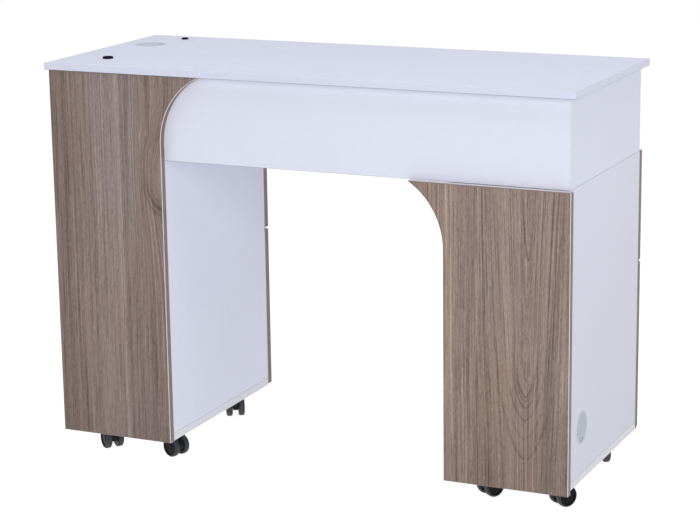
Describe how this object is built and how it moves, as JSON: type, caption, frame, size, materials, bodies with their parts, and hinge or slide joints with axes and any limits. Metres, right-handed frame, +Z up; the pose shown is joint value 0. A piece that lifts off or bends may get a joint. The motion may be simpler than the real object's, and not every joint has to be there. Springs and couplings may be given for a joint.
{
  "type": "manicure table",
  "caption": "Manicure table: white top and apron on two drawer-and-door pedestals with curved wood-grain front panels, on twin-wheel casters.",
  "frame": {"origin": "on the floor, under the middle of the table's overall box", "axes": "+X along the table to the right as the client sees it, +Y from the client to the technician, +Z up"},
  "size_m": [1.056, 0.469, 0.779],
  "materials": {
    "white_melamine": "white melamine-faced board, satin",
    "wood_laminate": "grey-brown wood-grain laminate, satin",
    "drawer_board": "white faced drawer board, matt",
    "hardboard": "white faced hardboard",
    "dowel_wood": "fluted hardwood dowel",
    "black_plastic": "moulded black",
    "grey_plastic": "moulded light grey",
    "caster_plastic": "moulded black nylon",
    "satin_steel": "brushed",
    "zinc_steel": "zinc plated"
  },
  "bodies": {
    "frame": {"tabletop": "white_melamine", "apron": "white_melamine", "left_end_panel": "white_melamine", "right_end_panel": "white_melamine", "deck_board": "white_melamine", "left_divider": "white_melamine", "right_divider": "white_melamine", "left_front_panel": "wood_laminate", "right_front_panel": "wood_laminate", "left_outer_side": "white_melamine", "left_inner_side": "white_melamine", "left_bottom_board": "white_melamine", "left_mid_board": "white_melamine", "right_outer_side": "white_melamine", "right_inner_side": "white_melamine", "right_bottom_board": "white_melamine", "right_mid_board": "white_melamine", "lamp_bushings": "black_plastic", "grommet_liners": "grey_plastic", "slide_rails": "zinc_steel", "caster_plates": "zinc_steel", "hardware_screws": "zinc_steel", "door_pivots": "zinc_steel", "panel_dowels": "dowel_wood"},
    "top_cap": {"top_grommet_cap": "grey_plastic"},
    "side_cap": {"side_grommet_cap": "grey_plastic"},
    "left_drawer": {"left_drawer_front": "wood_laminate", "left_drawer_walls": "drawer_board", "left_drawer_bottom": "hardboard", "left_drawer_runners": "zinc_steel", "left_drawer_handle": "satin_steel"},
    "right_drawer": {"right_drawer_front": "wood_laminate", "right_drawer_walls": "drawer_board", "right_drawer_bottom": "hardboard", "right_drawer_runners": "zinc_steel", "right_drawer_handle": "satin_steel"},
    "centre_drawer": {"centre_drawer_front": "white_melamine", "centre_drawer_walls": "drawer_board", "centre_drawer_bottom": "hardboard", "centre_drawer_runners": "zinc_steel"},
    "left_door_leaf": {"left_door": "wood_laminate", "left_door_handle": "satin_steel"},
    "right_door_leaf": {"right_door": "wood_laminate", "right_door_handle": "satin_steel"},
    "caster_1_fork": {"caster_1_housing": "caster_plastic"},
    "caster_1_wheelset": {"caster_1_wheels": "caster_plastic"},
    "caster_2_fork": {"caster_2_housing": "caster_plastic"},
    "caster_2_wheelset": {"caster_2_wheels": "caster_plastic"},
    "caster_3_fork": {"caster_3_housing": "caster_plastic"},
    "caster_3_wheelset": {"caster_3_wheels": "caster_plastic"},
    "caster_4_fork": {"caster_4_housing": "caster_plastic"},
    "caster_4_wheelset": {"caster_4_wheels": "caster_plastic"},
    "caster_5_fork": {"caster_5_housing": "caster_plastic"},
    "caster_5_wheelset": {"caster_5_wheels": "caster_plastic"},
    "caster_6_fork": {"caster_6_housing": "caster_plastic"},
    "caster_6_wheelset": {"caster_6_wheels": "caster_plastic"},
    "caster_7_fork": {"caster_7_housing": "caster_plastic"},
    "caster_7_wheelset": {"caster_7_wheels": "caster_plastic"},
    "caster_8_fork": {"caster_8_housing": "caster_plastic"},
    "caster_8_wheelset": {"caster_8_wheels": "caster_plastic"}
  },
  "joints": [
    {"name": "left_drawer_slide", "type": "slide", "parent": "frame", "child": "left_drawer", "axis": [0, 1, 0], "range_m": [0, 0.26]},
    {"name": "right_drawer_slide", "type": "slide", "parent": "frame", "child": "right_drawer", "axis": [0, 1, 0], "range_m": [0, 0.26]},
    {"name": "centre_drawer_slide", "type": "slide", "parent": "frame", "child": "centre_drawer", "axis": [0, 1, 0], "range_m": [0, 0.26]},
    {"name": "left_door_hinge", "type": "hinge", "parent": "frame", "child": "left_door_leaf", "pos_m": [-0.507, 0.1995, 0.216], "axis": [0, 0, 1], "range_deg": [0, 100]},
    {"name": "right_door_hinge", "type": "hinge", "parent": "frame", "child": "right_door_leaf", "pos_m": [0.507, 0.1995, 0.216], "axis": [0, 0, -1], "range_deg": [0, 100]},
    {"name": "top_cap_turn", "type": "hinge", "parent": "frame", "child": "top_cap", "pos_m": [-0.464, 0.0615, 0.773], "axis": [0, 0, 1], "continuous": true},
    {"name": "side_cap_turn", "type": "hinge", "parent": "frame", "child": "side_cap", "pos_m": [0.511, -0.1365, 0.151], "axis": [1, 0, 0], "continuous": true},
    {"name": "caster_1_swivel", "type": "hinge", "parent": "frame", "child": "caster_1_fork", "pos_m": [-0.4685, -0.1505, 0.044], "axis": [0, 0, 1], "continuous": true},
    {"name": "caster_1_roll", "type": "hinge", "parent": "caster_1_fork", "child": "caster_1_wheelset", "pos_m": [-0.4555, -0.16066, 0.02], "axis": [0.6157, 0.788, 0], "continuous": true},
    {"name": "caster_2_swivel", "type": "hinge", "parent": "frame", "child": "caster_2_fork", "pos_m": [-0.3285, -0.1505, 0.044], "axis": [0, 0, 1], "continuous": true},
    {"name": "caster_2_roll", "type": "hinge", "parent": "caster_2_fork", "child": "caster_2_wheelset", "pos_m": [-0.313, -0.15614, 0.02], "axis": [0.342, 0.9397, 0], "continuous": true},
    {"name": "caster_3_swivel", "type": "hinge", "parent": "frame", "child": "caster_3_fork", "pos_m": [-0.3335, 0.1295, 0.044], "axis": [0, 0, 1], "continuous": true},
    {"name": "caster_3_roll", "type": "hinge", "parent": "caster_3_fork", "child": "caster_3_wheelset", "pos_m": [-0.32451, 0.11566, 0.02], "axis": [0.8387, 0.5446, 0], "continuous": true},
    {"name": "caster_4_swivel", "type": "hinge", "parent": "frame", "child": "caster_4_fork", "pos_m": [-0.4565, 0.1295, 0.044], "axis": [0, 0, 1], "continuous": true},
    {"name": "caster_4_roll", "type": "hinge", "parent": "caster_4_fork", "child": "caster_4_wheelset", "pos_m": [-0.441, 0.13514, 0.02], "axis": [-0.342, 0.9397, 0], "continuous": true},
    {"name": "caster_5_swivel", "type": "hinge", "parent": "frame", "child": "caster_5_fork", "pos_m": [0.3285, -0.1505, 0.044], "axis": [0, 0, 1], "continuous": true},
    {"name": "caster_5_roll", "type": "hinge", "parent": "caster_5_fork", "child": "caster_5_wheelset", "pos_m": [0.33773, -0.13682, 0.02], "axis": [-0.829, 0.5592, 0], "continuous": true},
    {"name": "caster_6_swivel", "type": "hinge", "parent": "frame", "child": "caster_6_fork", "pos_m": [0.4685, -0.1505, 0.044], "axis": [0, 0, 1], "continuous": true},
    {"name": "caster_6_roll", "type": "hinge", "parent": "caster_6_fork", "child": "caster_6_wheelset", "pos_m": [0.4782, -0.13715, 0.02], "axis": [-0.809, 0.5878, 0], "continuous": true},
    {"name": "caster_7_swivel", "type": "hinge", "parent": "frame", "child": "caster_7_fork", "pos_m": [0.4565, 0.1295, 0.044], "axis": [0, 0, 1], "continuous": true},
    {"name": "caster_7_roll", "type": "hinge", "parent": "caster_7_fork", "child": "caster_7_wheelset", "pos_m": [0.46549, 0.11566, 0.02], "axis": [0.8387, 0.5446, 0], "continuous": true},
    {"name": "caster_8_swivel", "type": "hinge", "parent": "frame", "child": "caster_8_fork", "pos_m": [0.3335, 0.1295, 0.044], "axis": [0, 0, 1], "continuous": true},
    {"name": "caster_8_roll", "type": "hinge", "parent": "caster_8_fork", "child": "caster_8_wheelset", "pos_m": [0.32786, 0.145, 0.02], "axis": [-0.9397, -0.342, 0], "continuous": true}
  ]
}
